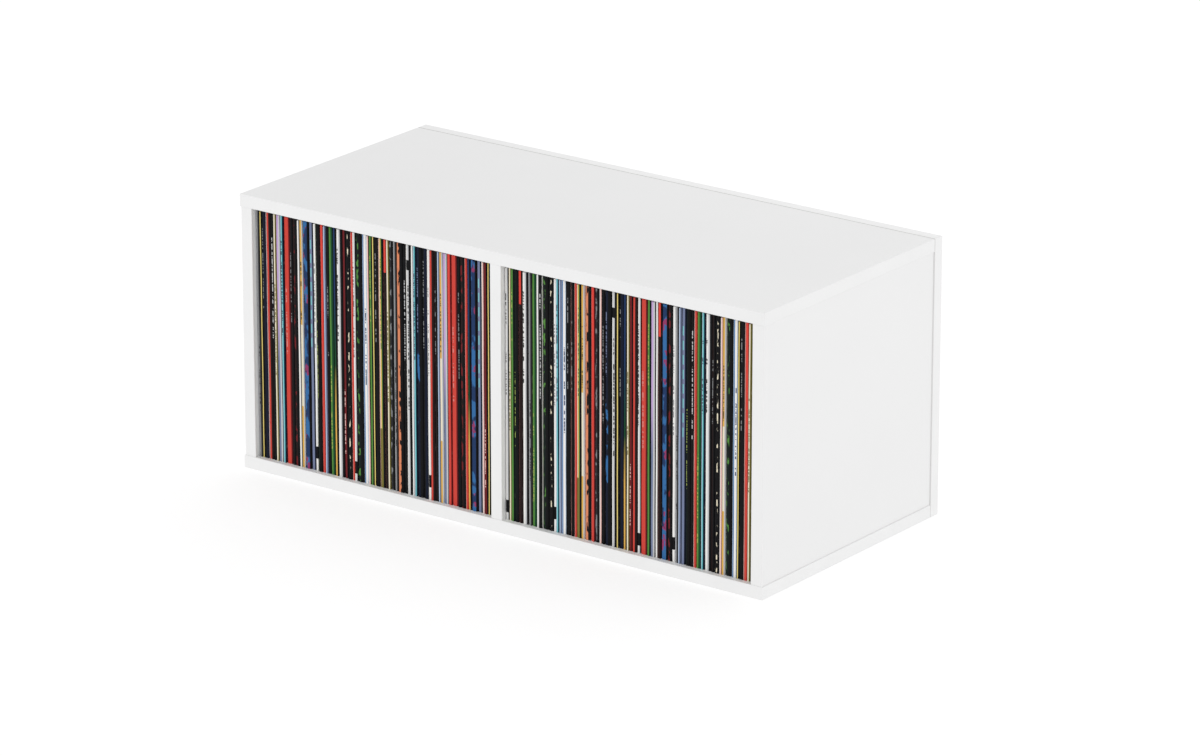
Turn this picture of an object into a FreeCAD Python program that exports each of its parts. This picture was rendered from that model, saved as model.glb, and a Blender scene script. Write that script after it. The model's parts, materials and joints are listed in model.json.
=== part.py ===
import FreeCAD, Part
import os

# Two-compartment record cabinet of faced boards, filled with records in their covers.
# Millimetres, +Z up, +X to the right seen from the front, the front faces -Y.
# The origin is the middle of the footprint, on the floor.

# Records and the room they need
sleeve_size = 315.0
sleeve_headroom = 3.0
spine_setback = 7.0
rear_space = 27.0
spine_round = 0.9
largest_round_share = 0.4
sleeve_thickness = {"thin": 3.0, "single": 4.4, "double": 6.6, "box": 9.2}
sleeve_gap = 0.4
handfuls_per_compartment = 11
row_clearance = 0.8
free_slot = 6.0

# Boards
cabinet_width = 775.0
board_thickness = 16.0
back_thickness = 16.0
side_reveal = 1.4
upright_setback = 1.0
edging_thickness = 1.0
edging_round = 0.8

# Cam fittings between the uprights and the top and bottom panels
cam_inset = 50.0
cam_radius = 7.5
cam_floor = 1.2
cam_drive_width = 1.4
cam_drive_length = 8.0
cam_drive_depth = 2.0
bolt_reach = 34.0
bolt_thread_length = 11.0
bolt_thread_radius = 3.0
bolt_shank_radius = 2.6
bolt_neck_length = 4.0
bolt_neck_radius = 1.9
bolt_head_length = 3.5
bolt_head_radius = 3.2
bolt_bore_clearance = 0.8
cover_overlap = 1.0
cover_thickness = 0.7
cover_peg_radius = 1.2
cover_peg_length = 1.6

# Dowels beside the cam fittings
dowel_spacing = 32.0
dowel_radius = 4.0
dowel_in_panel = 10.0
dowel_in_upright = 20.0
dowel_chamfer = 1.0

# Screws through the back panel
screw_inset = 70.0
screw_length = 50.0
screw_head_radius = 5.0
screw_head_height = 3.5
screw_shank_radius = 3.5
screw_thread_radius = 2.8
screw_socket_radius = 2.0
screw_socket_depth = 2.5
screw_cap_overlap = 1.0
screw_cap_thickness = 1.0

# Room around each fastener in its hole, and at the blind end of the hole
fastener_clearance = 0.15
blind_end_clearance = 1.0

# Sizes that follow from the ones above
inner_height = sleeve_size + sleeve_headroom
inner_depth = spine_setback + sleeve_size + rear_space
cabinet_height = inner_height + 2 * board_thickness
cabinet_depth = inner_depth + back_thickness
compartment_width = (cabinet_width - 2 * side_reveal - 3 * board_thickness) / 2
row_start_gap = cover_thickness + row_clearance
row_width = compartment_width - row_start_gap - free_slot

front_y = -cabinet_depth / 2
back_y = cabinet_depth / 2
inner_back_y = back_y - back_thickness
floor_z = board_thickness
ceiling_z = cabinet_height - board_thickness
cam_depth = board_thickness / 2 + bolt_head_radius + cam_floor
bolt_bore_radius = bolt_head_radius + bolt_bore_clearance
cover_radius = cam_radius + cover_overlap
screw_cap_radius = screw_head_radius + screw_cap_overlap

# Left faces of the three uprights and of the two compartments
upright_left_x = {
    "left_side": -cabinet_width / 2 + side_reveal,
    "centre_divider": -board_thickness / 2,
    "right_side": cabinet_width / 2 - side_reveal - board_thickness,
}
compartment_left_x = {
    "left": upright_left_x["left_side"] + board_thickness,
    "right": upright_left_x["centre_divider"] + board_thickness,
}

# The face of each upright that carries its cam locks: 1 opens to +X, -1 to -X
cam_side = {"left_side": 1, "centre_divider": -1, "right_side": -1}

# Kinds of record along a row, over and over, and where in that order each row begins
record_order = (
    "single", "thin", "double", "double", "single", "thin",
    "double", "single", "box", "single", "double", "thin",
    "single", "box", "double", "thin", "double", "single",
    "thin", "single", "double", "single", "box", "single",
    "double", "thin", "single", "box", "double", "thin",
)
row_begins_at = {"left": 0, "right": 17}

same_length = 1e-6
x_axis = FreeCAD.Vector(1, 0, 0)
y_axis = FreeCAD.Vector(0, 1, 0)
z_axis = FreeCAD.Vector(0, 0, 1)


def block(low, high):
    """A box between two opposite corners."""
    size = [high[i] - low[i] for i in range(3)]
    return Part.makeBox(size[0], size[1], size[2], FreeCAD.Vector(*low))


def rod(radius, length, start, direction):
    """A cylinder from a start point along a direction."""
    return Part.makeCylinder(radius, length, FreeCAD.Vector(*start), direction)


def turned(profile):
    """A solid turned about +Z from (radius, height) points, first and last on the axis."""
    points = [FreeCAD.Vector(radius, 0, height) for radius, height in profile]
    outline = Part.makePolygon(points + [points[0]])
    return Part.Face(outline).revolve(FreeCAD.Vector(0, 0, 0), z_axis, 360)


def placed(shape, position, direction):
    """A copy of a shape modelled along +Z, turned to a direction and moved to a position."""
    copy = shape.copy()
    turn = FreeCAD.Rotation(z_axis, direction)
    copy.Placement = FreeCAD.Placement(FreeCAD.Vector(*position), turn)
    return copy


def edges_where(shape, test):
    """The straight edges of a shape whose two end points both pass a test."""
    found = []
    for edge in shape.Edges:
        if all(test(vertex.Point) for vertex in edge.Vertexes):
            found.append(edge)
    return found


def near(a, b):
    """Whether two lengths are the same but for rounding."""
    return abs(a - b) < same_length


# Places of the fasteners

fastener_depths = (front_y + cam_inset, inner_back_y - cam_inset)
dowel_depths = (
    front_y + cam_inset + dowel_spacing,
    inner_back_y - cam_inset - dowel_spacing,
)
joint_levels = ((floor_z, 1), (ceiling_z, -1))


def upright_centre_x(name):
    """Middle of an upright's thickness, where its fasteners lie."""
    return upright_left_x[name] + board_thickness / 2


def upright_joints(depths):
    """(upright, point on the joint face, +1 up or -1 down into the upright) at every place."""
    places = []
    for name in upright_left_x:
        for level, into_upright in joint_levels:
            for depth in depths:
                places.append((name, (upright_centre_x(name), depth, level), into_upright))
    return places


def cam_mouth(name, point, into_upright):
    """Where a cam's outer face lies, flush with the upright's own face."""
    mouth_x = point[0] + cam_side[name] * board_thickness / 2
    return (mouth_x, point[1], point[2] + into_upright * bolt_reach)


def screw_points():
    """Points on the back panel's front face where the screws cross it."""
    points = []
    for name in upright_left_x:
        for height in (floor_z + screw_inset, ceiling_z - screw_inset):
            points.append((upright_centre_x(name), inner_back_y, height))
    for left_x in compartment_left_x.values():
        for height in (board_thickness / 2, cabinet_height - board_thickness / 2):
            points.append((left_x + compartment_width / 2, inner_back_y, height))
    return points


# Fasteners, each modelled along +Z from the face where two boards meet


def cam_bolt():
    """Threaded end below the joint face, shank, neck and head above it."""
    neck_top = bolt_reach - bolt_head_length / 2
    neck_bottom = neck_top - bolt_neck_length
    head_top = neck_top + bolt_head_length
    head_bevel = (bolt_head_radius - bolt_neck_radius) / 2
    return turned([
        (0, -bolt_thread_length),
        (bolt_thread_radius, -bolt_thread_length),
        (bolt_thread_radius, 0),
        (bolt_shank_radius, 0),
        (bolt_shank_radius, neck_bottom),
        (bolt_neck_radius, neck_bottom),
        (bolt_neck_radius, neck_top),
        (bolt_head_radius, neck_top + head_bevel),
        (bolt_head_radius, head_top - head_bevel),
        (bolt_neck_radius, head_top),
        (0, head_top),
    ])


def cam_lock():
    """Short drum, its outer face at zero and its foot below, with the bolt's way in and a drive cross."""
    drum = Part.makeCylinder(cam_radius, cam_depth, FreeCAD.Vector(0, 0, -cam_depth))
    way_radius = bolt_head_radius + fastener_clearance
    way_end = bolt_head_length / 2 + fastener_clearance
    way = rod(way_radius, cam_radius + way_end, (-cam_radius, 0, -board_thickness / 2), x_axis)
    half_length = cam_drive_length / 2
    half_width = cam_drive_width / 2
    slot_a = block((-half_length, -half_width, -cam_drive_depth), (half_length, half_width, 0))
    slot_b = block((-half_width, -half_length, -cam_drive_depth), (half_width, half_length, 0))
    peg_hole = rod(cover_peg_radius + fastener_clearance, cam_drive_depth, (0, 0, -cam_drive_depth), z_axis)
    return drum.cut([way, slot_a, slot_b, peg_hole])


def cover_cap():
    """Thin round cap on a board's face at zero, with a peg for the cam's drive cross below."""
    rim = cover_thickness / 2
    return turned([
        (0, -cover_peg_length),
        (cover_peg_radius, -cover_peg_length),
        (cover_peg_radius, 0),
        (cover_radius, 0),
        (cover_radius, rim),
        (cover_radius - rim, cover_thickness),
        (0, cover_thickness),
    ])


def dowel():
    """Plain wooden dowel with bevelled ends."""
    bevelled = dowel_radius - dowel_chamfer
    return turned([
        (0, -dowel_in_panel),
        (bevelled, -dowel_in_panel),
        (dowel_radius, -dowel_in_panel + dowel_chamfer),
        (dowel_radius, dowel_in_upright - dowel_chamfer),
        (bevelled, dowel_in_upright),
        (0, dowel_in_upright),
    ])


def back_screw():
    """Stepped board screw: head near the outer face, tip deep in the joined board."""
    head_top = back_thickness - screw_cap_thickness
    head_bottom = head_top - screw_head_height
    tip = head_top - screw_length
    body = turned([
        (0, tip),
        (screw_thread_radius / 2, tip),
        (screw_thread_radius, tip + screw_thread_radius),
        (screw_thread_radius, -screw_shank_radius),
        (screw_shank_radius, 0),
        (screw_shank_radius, head_bottom),
        (screw_head_radius, head_bottom),
        (screw_head_radius, head_top),
        (0, head_top),
    ])
    socket_bottom = head_top - screw_socket_depth
    return body.cut(rod(screw_socket_radius, screw_socket_depth, (0, 0, socket_bottom), z_axis))


def screw_cap():
    """Round cap that fills the mouth of a screw's hole flush with the outer face."""
    return Part.makeCylinder(
        screw_cap_radius,
        screw_cap_thickness,
        FreeCAD.Vector(0, 0, back_thickness - screw_cap_thickness),
    )


# Holes that the fasteners sit in


def panel_holes(level_wanted):
    """Bolt and dowel holes in the inner face of the bottom or top panel, and screw bores in its rear edge."""
    holes = []
    bolt_hole = bolt_thread_radius + fastener_clearance
    dowel_hole = dowel_radius + fastener_clearance
    for _, point, into_upright in upright_joints(fastener_depths):
        if near(point[2], level_wanted):
            holes.append(rod(bolt_hole, bolt_thread_length, point, z_axis * -into_upright))
    for _, point, into_upright in upright_joints(dowel_depths):
        if near(point[2], level_wanted):
            depth = dowel_in_panel + blind_end_clearance
            holes.append(rod(dowel_hole, depth, point, z_axis * -into_upright))
    for point in screw_points():
        if abs(point[2] - level_wanted) < board_thickness:
            holes.append(screw_bore(point))
    return holes


def screw_bore(point):
    """Blind hole for a screw's thread in the rear edge of a board."""
    depth = screw_length - (back_thickness - screw_cap_thickness) + blind_end_clearance
    return rod(screw_shank_radius + fastener_clearance, depth, point, y_axis * -1)


def upright_holes(wanted):
    """Bolt bores, cam pockets, dowel holes and screw bores in one upright."""
    holes = []
    for name, point, into_upright in upright_joints(fastener_depths):
        if name != wanted:
            continue
        holes.append(rod(bolt_bore_radius, bolt_reach, point, z_axis * into_upright))
        inward = x_axis * -cam_side[name]
        pocket = cam_radius + fastener_clearance
        holes.append(rod(pocket, cam_depth, cam_mouth(name, point, into_upright), inward))
    for name, point, into_upright in upright_joints(dowel_depths):
        if name == wanted:
            depth = dowel_in_upright + blind_end_clearance
            holes.append(rod(dowel_radius + fastener_clearance, depth, point, z_axis * into_upright))
    for point in screw_points():
        if near(point[0], upright_centre_x(wanted)):
            holes.append(screw_bore(point))
    return holes


def back_holes():
    """Stepped holes through the back panel: shank, head and cap."""
    holes = []
    head_room = screw_cap_thickness + screw_head_height
    for point in screw_points():
        x, y, z = point
        holes.append(rod(screw_shank_radius + fastener_clearance, back_thickness, point, y_axis))
        head_start = (x, back_y - head_room, z)
        holes.append(rod(screw_head_radius + fastener_clearance, head_room, head_start, y_axis))
        cap_start = (x, back_y - screw_cap_thickness, z)
        holes.append(rod(screw_cap_radius + fastener_clearance, screw_cap_thickness, cap_start, y_axis))
    return holes


# Boards with their edge strips


def split_board(whole, strip_boxes):
    """(core, strips) of a board: each strip is what a box takes from it, the core is what is left."""
    core = whole
    strips = []
    for box in strip_boxes:
        strips.append(core.common(box))
        core = core.cut(box)
    return core, Part.makeCompound(strips)


def lying_panel(bottom_z):
    """Top or bottom panel with all edges rounded, and strips on its front and both ends."""
    half = cabinet_width / 2
    top_z = bottom_z + board_thickness
    inner_level = top_z if near(bottom_z, 0) else bottom_z
    whole = block((-half, front_y, bottom_z), (half, inner_back_y, top_z))
    whole = whole.makeFillet(edging_round, whole.Edges).cut(panel_holes(inner_level))
    strip_boxes = [
        block((-half, front_y, bottom_z), (half, front_y + edging_thickness, top_z)),
        block((-half, front_y, bottom_z), (-half + edging_thickness, inner_back_y, top_z)),
        block((half - edging_thickness, front_y, bottom_z), (half, inner_back_y, top_z)),
    ]
    return split_board(whole, strip_boxes)


def upright_panel(name):
    """Side panel or divider with a rounded strip on its front edge."""
    left_x = upright_left_x[name]
    right_x = left_x + board_thickness
    strip_y = front_y + upright_setback
    whole = block((left_x, strip_y, floor_z), (right_x, inner_back_y, ceiling_z))

    def on_front(point):
        return near(point.y, strip_y)

    front_edges = edges_where(whole, on_front)
    standing = [edge for edge in front_edges if near(edge.Vertexes[0].X, edge.Vertexes[1].X)]
    whole = whole.makeFillet(edging_round, standing).cut(upright_holes(name))
    strip_box = block((left_x, strip_y, floor_z), (right_x, strip_y + edging_thickness, ceiling_z))
    return split_board(whole, [strip_box])


def standing_back():
    """Full-size back panel with rounded strips on all four edges."""
    half = cabinet_width / 2
    whole = block((-half, inner_back_y, 0), (half, back_y, cabinet_height))
    whole = whole.makeFillet(edging_round, whole.Edges).cut(back_holes())
    inside = half - edging_thickness
    low_z = edging_thickness
    high_z = cabinet_height - edging_thickness
    strip_boxes = [
        block((-half, inner_back_y, 0), (-inside, back_y, cabinet_height)),
        block((inside, inner_back_y, 0), (half, back_y, cabinet_height)),
        block((-inside, inner_back_y, 0), (inside, back_y, low_z)),
        block((-inside, inner_back_y, high_z), (inside, back_y, cabinet_height)),
    ]
    return split_board(whole, strip_boxes)


# Records


def sleeve(left_x, thickness):
    """One record in its cover: square, its spine rounded at the two front edges."""
    spine_y = front_y + spine_setback
    whole = block(
        (left_x, spine_y, floor_z),
        (left_x + thickness, spine_y + sleeve_size, floor_z + sleeve_size),
    )

    def on_spine(point):
        return near(point.y, spine_y)

    standing = [edge for edge in edges_where(whole, on_spine) if near(edge.Length, sleeve_size)]
    return whole.makeFillet(min(spine_round, largest_round_share * thickness), standing)


def record_row(side):
    """(left face, thickness) of each record that fits into a compartment, at an even gap."""
    x = compartment_left_x[side] + row_start_gap
    end_x = x + row_width
    row = []
    while True:
        kind = record_order[(row_begins_at[side] + len(row)) % len(record_order)]
        thickness = sleeve_thickness[kind]
        if x + thickness > end_x:
            return row
        row.append((x, thickness))
        x += thickness + sleeve_gap


def handful(row, number):
    """The records of one handful, which is an even share of its row."""
    first = number * len(row) // handfuls_per_compartment
    following = (number + 1) * len(row) // handfuls_per_compartment
    return Part.makeCompound([sleeve(x, thickness) for x, thickness in row[first:following]])


# Assembly

nodes = {}
nodes["bottom_panel"], nodes["bottom_panel_edging"] = lying_panel(0)
nodes["top_panel"], nodes["top_panel_edging"] = lying_panel(ceiling_z)
nodes["left_side_panel"], nodes["left_side_edging"] = upright_panel("left_side")
nodes["right_side_panel"], nodes["right_side_edging"] = upright_panel("right_side")
nodes["centre_divider"], nodes["centre_divider_edging"] = upright_panel("centre_divider")
nodes["back_panel"], nodes["back_panel_edging"] = standing_back()

bolts = []
locks = []
covers = []
for name, point, into_upright in upright_joints(fastener_depths):
    bolts.append(placed(cam_bolt(), point, z_axis * into_upright))
    mouth = cam_mouth(name, point, into_upright)
    out_of_board = x_axis * cam_side[name]
    lock = cam_lock()
    # The bolt's way in points from the drum's rim towards the joint face.
    away_from_joint = z_axis * into_upright
    across = out_of_board.cross(away_from_joint)
    turn = FreeCAD.Rotation(away_from_joint, across, out_of_board, "ZXY")
    lock.Placement = FreeCAD.Placement(FreeCAD.Vector(*mouth), turn)
    locks.append(lock)
    covers.append(placed(cover_cap(), mouth, out_of_board))
nodes["cam_bolts"] = Part.makeCompound(bolts)
nodes["cam_locks"] = Part.makeCompound(locks)
nodes["cam_covers"] = Part.makeCompound(covers)

dowels = []
for _, point, into_upright in upright_joints(dowel_depths):
    dowels.append(placed(dowel(), point, z_axis * into_upright))
nodes["wood_dowels"] = Part.makeCompound(dowels)

nodes["back_screws"] = Part.makeCompound([placed(back_screw(), point, y_axis) for point in screw_points()])
nodes["back_screw_caps"] = Part.makeCompound([placed(screw_cap(), point, y_axis) for point in screw_points()])

for side in compartment_left_x:
    row = record_row(side)
    for number in range(handfuls_per_compartment):
        nodes[f"{side}_records_{number + 1:02d}"] = handful(row, number)

os.makedirs("parts", exist_ok=True)
for node_name, shape in nodes.items():
    shape.exportStep(f"parts/{node_name}.step")

solid_count = sum(len(shape.Solids) for shape in nodes.values())
print(f"overall {cabinet_width:.1f} x {cabinet_depth:.1f} x {cabinet_height:.1f} mm")
print(f"compartment {compartment_width:.1f} mm wide, {inner_height:.1f} high, {inner_depth:.1f} deep")
print(f"{len(nodes)} nodes, {solid_count} solids")
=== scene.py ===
import json
import math
from collections import namedtuple
from itertools import cycle

import bpy
from mathutils import Matrix, Vector


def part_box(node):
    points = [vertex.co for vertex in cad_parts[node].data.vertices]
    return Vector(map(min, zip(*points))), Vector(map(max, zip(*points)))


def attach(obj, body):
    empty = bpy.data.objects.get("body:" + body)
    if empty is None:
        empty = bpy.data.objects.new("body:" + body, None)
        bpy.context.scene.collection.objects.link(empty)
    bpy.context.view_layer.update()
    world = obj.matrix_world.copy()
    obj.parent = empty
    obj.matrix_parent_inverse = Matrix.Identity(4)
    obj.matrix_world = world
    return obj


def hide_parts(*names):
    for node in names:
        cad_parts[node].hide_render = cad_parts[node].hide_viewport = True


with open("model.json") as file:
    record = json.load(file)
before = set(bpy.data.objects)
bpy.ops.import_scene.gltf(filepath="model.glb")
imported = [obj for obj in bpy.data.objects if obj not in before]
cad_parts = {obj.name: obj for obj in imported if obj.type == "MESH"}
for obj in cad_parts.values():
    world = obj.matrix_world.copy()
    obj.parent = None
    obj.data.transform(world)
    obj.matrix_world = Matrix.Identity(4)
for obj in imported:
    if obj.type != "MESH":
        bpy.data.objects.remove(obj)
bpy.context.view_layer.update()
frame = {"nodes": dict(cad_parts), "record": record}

MM = 0.001
MM_PER_METRE = 1000.0
MIDDLE = 0.5
PURE_WHITE = (1.0, 1.0, 1.0, 1.0)

# Camera, from a fit to the cabinet's straight edges: pixels, millimetres of sensor, radians, metres
IMAGE_WIDTH = 1200
FOCAL_PIXELS = 6532.8
SENSOR_WIDTH = 36.0
CAMERA_AZIMUTH = math.radians(36.559)
CAMERA_ELEVATION = math.radians(18.799)
CAMERA_DISTANCE = 7.8567
AIM_RIGHT = 0.01501
AIM_UP = -0.02964
AIM_HEIGHT = 0.175

# Studio: light from all round, and a floor with a light of its own, as seen (glow) and as given off (lift)
WORLD_LEVEL = 0.90
FLOOR_RADIUS = 14.0
FLOOR_SIDES = 64
FLOOR_DROP = 0.2 * MM
FLOOR_GLOW = 0.66
FLOOR_LIFT = 0.83

# Soft square lamps: degrees from the front towards the right, degrees up, metres across, watts
Lamp = namedtuple("Lamp", "name azimuth elevation size power")
LAMPS = (
    Lamp("front_lamp", azimuth=-20.0, elevation=5.0, size=2.0, power=12.0),
    Lamp("right_lamp", azimuth=100.0, elevation=10.0, size=2.4, power=10.5),
    Lamp("back_lamp", azimuth=205.0, elevation=5.0, size=1.4, power=8.0),
)
LAMP_DISTANCE = 3.2

# Painted shade in inner corners, from an occlusion node, and a painted shade line along the seam between
# the boards and the back panel
BACK_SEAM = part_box("back_panel")[0].y
SEAM_WIDTH = 0.8 * MM
SEAM_HAIR = 0.02 * MM
CORNER_REACH = 1.0 * MM
CORNER_SHUT = 0.4
CORNER_OPEN = 0.97
CORNER_SHADE = 0.3
UPRIGHT_SHADE = 0.4
CORNER_SAMPLES = 8

# Part of a noise pattern's range that roughness follows, and the usual relief of a surface
GRAIN_RANGE = (0.3, 0.7)
RELIEF_DEPTH = 0.1 * MM
RELIEF_STRENGTH = 0.3
CARD_RELIEF = 0.06 * MM

# Records: a spine strip that wraps onto both cover faces, then the cover with its open mouth
SPINE_WRAP = 4.0 * MM
SPINE_ROUND_SHARE = 0.28
ROUND_STEPS = 4
SPINE_RINGS = 11
FOLD_ROUND = 0.3 * MM
FOLD_SHARE = 0.25
FOLD_STEPS = 2
CARD = 0.6 * MM
MOUTH_DEPTH = 5.0 * MM
INNER_SLEEVE = 0.5 * MM
INNER_SLEEVE_SHORT = 4.0 * MM
INNER_SLEEVE_BACK = 1.2 * MM
INNER_SLEEVE_BOW = 0.2 * MM
INNER_SLEEVE_STEPS = 6
SHARP_ANGLE = math.radians(40.0)

# Dents along a spine: depth, and radians of their wave for each metre up it and along the row
SPINE_DENT = 0.3 * MM
DENT_WAVE = 23.0
DENT_SHIFT = 900.0

# How far each record in turn stands back and how much shorter it is, in millimetres
SETBACKS = (0.0, 0.5, 0.1, 0.8, 0.3, 0.0, 0.6, 0.2, 0.9, 0.4, 0.1)
SHORTFALLS = (0.2, 0.9, 0.0, 0.5, 1.3, 0.3, 0.7)

# Beyond the print's edges, so that a layer runs on round the spine's corners to the cover faces
LEFT = -6.0
RIGHT = 7.0
BELOW = -1.0
ABOVE = 2.0

# Lines of small flecks on a spine: millimetres along it, stretch, and the noise above which they show
FLECK_LENGTH = 2.2
GROUP_LENGTH = 16.0
FLECK_STRETCH = (0.4, 0.0, 1.0)
FLECK_LEVEL = 0.47
GROUP_LEVEL = 0.4

# Irregular patches: how far their share moves the noise at which they begin, and their soft rim
MOTTLE_REACH = 0.5
MOTTLE_RIM = 0.02

# Wear on a spine: share of its width at each corner, noise that rubs through, most that shows
SPINE_CORNER = 0.1
RUB_RANGE = (0.55, 0.75)
SPINE_MOST_WORN = 0.35

# Wear on a cover, in shares of its size: radius and width of the ring over the disc, strip at the edges
DISC_SHARE = 0.478
RIM_WEAR = 0.018
EDGE_WEAR = 0.012

# Wear of the edges where the ring's is 1, noise that rubs through in patches and specks, most that shows
EDGE_SHARE = 0.45
PATCH_RANGE = (0.4, 0.62)
SPECK_RANGE = (0.42, 0.75)
COVER_MOST_WORN = 0.55

# Upper limits of thickness that tell the kinds of record apart
KIND_LIMITS = (("thin", 3.7 * MM), ("single", 5.5 * MM), ("double", 7.9 * MM), ("box", 20.0 * MM))


def tint(red, green, blue):
    """Linear colour of an sRGB colour written in 0 to 255."""
    shares = [value / 255 for value in (red, green, blue)]
    linear = [share / 12.92 if share <= 0.04045 else ((share + 0.055) / 1.055) ** 2.4 for share in shares]
    return (*linear, 1.0)


# Colours of the cabinet, the floor and the raw card
BOARD_WHITE = tint(236, 236, 236)
BOARD_SHADE = tint(235, 235, 235)
EDGE_WHITE = tint(238, 238, 238)
EDGE_SHADE = tint(236, 236, 236)
CAP_WHITE = tint(236, 236, 234)
CAP_SHADE = tint(226, 226, 224)
ZINC_PALE = tint(205, 208, 212)
ZINC_DARK = tint(150, 154, 160)
BEECH_PALE = tint(216, 186, 146)
BEECH_DARK = tint(178, 138, 96)
# Grey of the painted shade in inner corners and along the back seam
PAINTED_SHADE_GREY = tint(196, 195, 193)
FLOOR_LIT = tint(108, 108, 108)
FLOOR_SEEN = tint(170, 170, 170)
CARD_CORE = tint(206, 198, 186)
CARD_GREY = tint(150, 144, 136)
SLEEVE_PAPER = tint(232, 229, 220)

# Colours of the prints
WHITE = tint(236, 235, 232)
PALE_GREY = tint(196, 197, 199)
GREY = tint(128, 129, 131)
COAL = tint(44, 44, 47)
INK = tint(17, 17, 19)
BROWN_INK = tint(35, 23, 23)
GREEN_INK = tint(18, 29, 27)
NIGHT = tint(20, 26, 44)
PINK = tint(234, 190, 182)
ROSE = tint(216, 134, 126)
RED = tint(205, 70, 60)
POPPY = tint(219, 70, 60)
WINE = tint(108, 32, 36)
ORANGE = tint(220, 136, 98)
GOLD = tint(218, 172, 84)
STRAW = tint(228, 206, 120)
CREAM = tint(232, 222, 196)
OLIVE = tint(122, 114, 56)
LIME = tint(160, 174, 90)
FERN = tint(84, 136, 62)
FOREST = tint(24, 70, 42)
AQUA = tint(122, 192, 196)
TEAL = tint(50, 146, 160)
PALE_BLUE = tint(192, 210, 232)
SKY = tint(132, 172, 214)
ROYAL = tint(54, 106, 160)
NAVY = tint(34, 56, 96)
SLATE = tint(116, 126, 156)
LILAC = tint(192, 164, 208)
MAGENTA = tint(146, 58, 100)


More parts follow.
